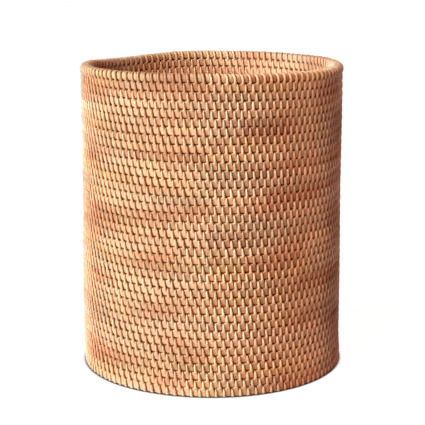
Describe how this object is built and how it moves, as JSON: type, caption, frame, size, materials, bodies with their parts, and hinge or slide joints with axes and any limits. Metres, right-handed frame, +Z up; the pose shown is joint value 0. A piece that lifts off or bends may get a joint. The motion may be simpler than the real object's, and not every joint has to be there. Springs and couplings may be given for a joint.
{
  "type": "wastebasket",
  "caption": "Round open-topped wastebasket with a coiled rattan base, a wall of stacked hoops bound in split cane, and a thick lashed rim.",
  "frame": {"origin": "centre of the foot, on the floor the basket stands on", "axes": "+Z up along the basket's axis, towards the open rim; -Y is the side seen from the front"},
  "size_m": [0.2424, 0.2424, 0.278],
  "materials": {
    "split_cane": "satin",
    "core_rod": "matte",
    "rim_cane": "satin"
  },
  "bodies": {
    "root": {"base_binding_lower": "split_cane", "base_binding_upper": "split_cane", "base_coil_inner": "core_rod", "base_coil_outer": "core_rod", "core_hoop_01": "core_rod", "core_hoop_02": "core_rod", "core_hoop_03": "core_rod", "core_hoop_04": "core_rod", "core_hoop_05": "core_rod", "core_hoop_06": "core_rod", "core_hoop_07": "core_rod", "core_hoop_08": "core_rod", "core_hoop_09": "core_rod", "core_hoop_10": "core_rod", "core_hoop_11": "core_rod", "core_hoop_12": "core_rod", "core_hoop_13": "core_rod", "core_hoop_14": "core_rod", "core_hoop_15": "core_rod", "core_hoop_16": "core_rod", "core_hoop_17": "core_rod", "core_hoop_18": "core_rod", "core_hoop_19": "core_rod", "core_hoop_20": "core_rod", "core_hoop_21": "core_rod", "core_hoop_22": "core_rod", "core_hoop_23": "core_rod", "core_hoop_24": "core_rod", "core_hoop_25": "core_rod", "core_hoop_26": "core_rod", "core_hoop_27": "core_rod", "core_hoop_28": "core_rod", "core_hoop_29": "core_rod", "core_hoop_30": "core_rod", "core_hoop_31": "core_rod", "core_hoop_32": "core_rod", "core_hoop_33": "core_rod", "core_hoop_34": "core_rod", "core_hoop_35": "core_rod", "core_hoop_36": "core_rod", "core_hoop_37": "core_rod", "foot_binding": "split_cane", "wall_binding_outside_1": "split_cane", "wall_binding_inside_1": "split_cane", "wall_binding_outside_2": "split_cane", "wall_binding_inside_2": "split_cane", "wall_binding_outside_3": "split_cane", "wall_binding_inside_3": "split_cane", "wall_binding_outside_4": "split_cane", "wall_binding_inside_4": "split_cane", "wall_binding_outside_5": "split_cane", "wall_binding_inside_5": "split_cane", "wall_binding_outside_6": "split_cane", "wall_binding_inside_6": "split_cane", "rim_hoop": "core_rod", "rim_lashing": "rim_cane"}
  },
  "joints": []
}
